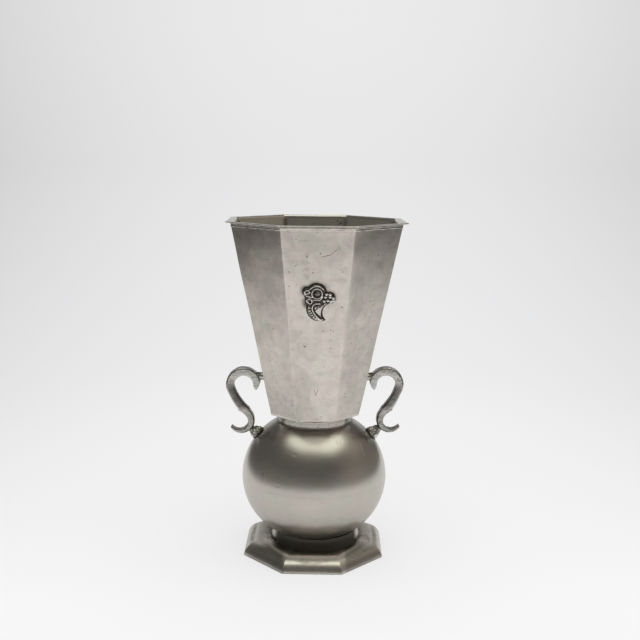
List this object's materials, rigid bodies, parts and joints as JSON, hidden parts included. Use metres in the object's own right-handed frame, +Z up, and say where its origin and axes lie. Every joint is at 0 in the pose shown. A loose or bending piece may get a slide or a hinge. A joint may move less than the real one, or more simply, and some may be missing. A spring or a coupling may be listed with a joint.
{
  "type": "pewter vase",
  "caption": "Octagonal flaring pewter vase on a flattened ball and low plinth, with scroll handles and a cast horn of plenty in front; holds cut flowers in water.",
  "frame": {"origin": "centre of the plinth's underside, on the surface that the vase stands on", "axes": "+Z up; the front facet with the cast ornament faces -Y; the handles lie on the X axis"},
  "size_m": [0.1168, 0.113, 0.22],
  "materials": {
    "pewter": "satin pewter sheet, brushed, with fine scratches and casting pits",
    "lip": "filed and lightly polished pewter strip",
    "casting": "cast pewter, filed flat in front, pitted",
    "patina": "pewter darkened by patina",
    "solder": "rough dull solder",
    "ornament": "cast pewter relief, bright on the high places and black in the hollows"
  },
  "bodies": {
    "root": {"cup_lip": "lip", "cup_wall": "pewter", "cup_floor": "patina", "collar": "patina", "ball_upper": "pewter", "ball_lower": "pewter", "foot_ring": "patina", "foot_solder": "solder", "base_shell": "pewter", "scroll_right": "casting", "stub_right": "casting", "boss_right": "patina", "scroll_left": "casting", "stub_left": "casting", "boss_left": "patina", "ornament": "ornament"}
  },
  "joints": []
}
